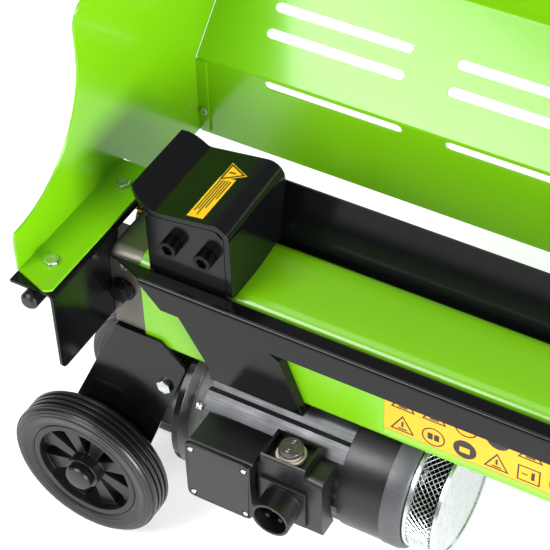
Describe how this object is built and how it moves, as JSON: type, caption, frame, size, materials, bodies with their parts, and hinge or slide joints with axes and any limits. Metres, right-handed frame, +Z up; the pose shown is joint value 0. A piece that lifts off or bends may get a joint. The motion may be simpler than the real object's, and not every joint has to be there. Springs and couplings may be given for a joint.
{
  "type": "log splitter",
  "caption": "Horizontal electric hydraulic log splitter: a ram-driven pusher slides along a closed beam towards a fixed wedge, with side rails, a guard, transport wheels and a foot.",
  "frame": {"origin": "bottom centre of the bounding box, on the ground under the machine", "axes": "+X along the beam from the motor end to the wedge end, +Y from the operator's side to the guard, +Z up"},
  "size_m": [1.155, 0.4288, 0.611],
  "materials": {
    "green_coat": "gloss powder coat",
    "black_coat": "gloss powder coat",
    "cast_aluminium": "machined casting",
    "machined_steel": "turned or milled",
    "chrome_rod": "hard chrome",
    "zinc": "bright zinc plate",
    "black_oxide": "black oxide",
    "tyre_rubber": "solid rubber",
    "seal_rubber": "oil seal",
    "black_plastic": "moulded",
    "pale_plastic": "moulded",
    "copper_winding": "varnished copper wire",
    "brass_screw": "turned"
  },
  "bodies": {
    "frame": {"beam_housing": "green_coat", "guard_end_plate_motor_end": "green_coat", "guard_end_plate_wedge_end": "green_coat", "guard_back_panel": "green_coat", "front_rail": "black_coat", "rear_rail": "black_coat", "rail_bracket_motor_end": "black_coat", "rail_bracket_wedge_end": "black_coat", "wedge_base": "black_coat", "wedge_blade": "black_coat", "guard_mount_motor_end": "black_coat", "guard_mount_wedge_end": "black_coat", "wheel_bracket": "black_coat", "support_foot": "black_coat", "lift_handle": "black_coat", "pump_block": "cast_aluminium", "end_cover": "cast_aluminium", "pump_body": "cast_aluminium", "motor_end_bell": "cast_aluminium", "motor_frame": "cast_aluminium", "cylinder_tube": "machined_steel", "cylinder_gland": "machined_steel", "valve_spring": "machined_steel", "fan_grille": "machined_steel", "axle": "zinc", "block_bolt": "black_oxide", "fan_cover": "black_plastic", "terminal_box": "black_plastic", "terminal_lid": "black_plastic", "switch_housing": "black_plastic", "power_inlet": "black_plastic", "capacitor": "pale_plastic", "stator": "copper_winding"},
    "pusher": {"push_plate": "black_coat", "pusher_side_front": "black_coat", "pusher_side_rear": "black_coat", "pusher_block": "black_coat", "slide_pad": "pale_plastic", "pusher_screw_front_1": "black_oxide", "pusher_screw_front_2": "black_oxide", "pusher_screw_rear_1": "black_oxide", "pusher_screw_rear_2": "black_oxide", "crosshead": "machined_steel", "piston_rod": "chrome_rod", "piston": "machined_steel", "piston_seal": "seal_rubber"},
    "wheel_front": {"tyre_front": "tyre_rubber", "rim_front": "black_plastic"},
    "wheel_rear": {"tyre_rear": "tyre_rubber", "rim_rear": "black_plastic"},
    "motor_rotor": {"rotor_shaft": "machined_steel", "drive_gear": "machined_steel", "fan": "black_plastic"},
    "driven_gear": {"driven_gear": "machined_steel"},
    "lever": {"control_lever": "zinc", "lever_grip": "black_plastic"},
    "spool": {"valve_spool": "machined_steel"},
    "button": {"start_button": "pale_plastic"},
    "bleed_screw": {"bleed_screw": "brass_screw"},
    "dipstick": {"dipstick": "black_plastic"}
  },
  "joints": [
    {"name": "pusher_slide", "type": "slide", "parent": "frame", "child": "pusher", "axis": [1, 0, 0], "range_m": [0, 0.38]},
    {"name": "wheel_front_spin", "type": "hinge", "parent": "frame", "child": "wheel_front", "pos_m": [-0.4915, -0.1454, 0.086], "axis": [0, 1, 0], "continuous": true},
    {"name": "wheel_rear_spin", "type": "hinge", "parent": "frame", "child": "wheel_rear", "pos_m": [-0.4915, 0.0006, 0.086], "axis": [0, 1, 0], "continuous": true},
    {"name": "rotor_spin", "type": "hinge", "parent": "frame", "child": "motor_rotor", "pos_m": [-0.2755, -0.0824, 0.194], "axis": [1, 0, 0], "continuous": true},
    {"name": "driven_gear_spin", "type": "hinge", "parent": "frame", "child": "driven_gear", "pos_m": [-0.4155, -0.0824, 0.222], "axis": [1, 0, 0], "continuous": true},
    {"name": "lever_press", "type": "hinge", "parent": "frame", "child": "lever", "pos_m": [-0.4825, -0.0544, 0.382], "axis": [1, 0, 0], "range_deg": [0, 12], "stiffness_Nm_per_rad": 2, "springref_deg": -17.19},
    {"name": "spool_slide", "type": "slide", "parent": "frame", "child": "spool", "axis": [0, 0, -1], "range_m": [0, 0.00482], "deforming": ["valve_spring"]},
    {"name": "button_press", "type": "slide", "parent": "frame", "child": "button", "axis": [0, 0, -1], "range_m": [0, 0.003], "stiffness_N_per_m": 400, "springref_m": -0.002},
    {"name": "bleed_screw_turn", "type": "hinge", "parent": "frame", "child": "bleed_screw", "pos_m": [-0.4555, -0.0484, 0.366], "axis": [-1, 0, 0], "range_deg": [0, 360]},
    {"name": "dipstick_pull", "type": "slide", "parent": "frame", "child": "dipstick", "axis": [1, 0, 0], "range_m": [0, 0.14]}
  ],
  "couplings": [
    {"joint": "driven_gear_spin", "follows": "rotor_spin", "ratio": -1},
    {"joint": "spool_slide", "follows": "lever_press", "m_per_rad": 0.023}
  ]
}
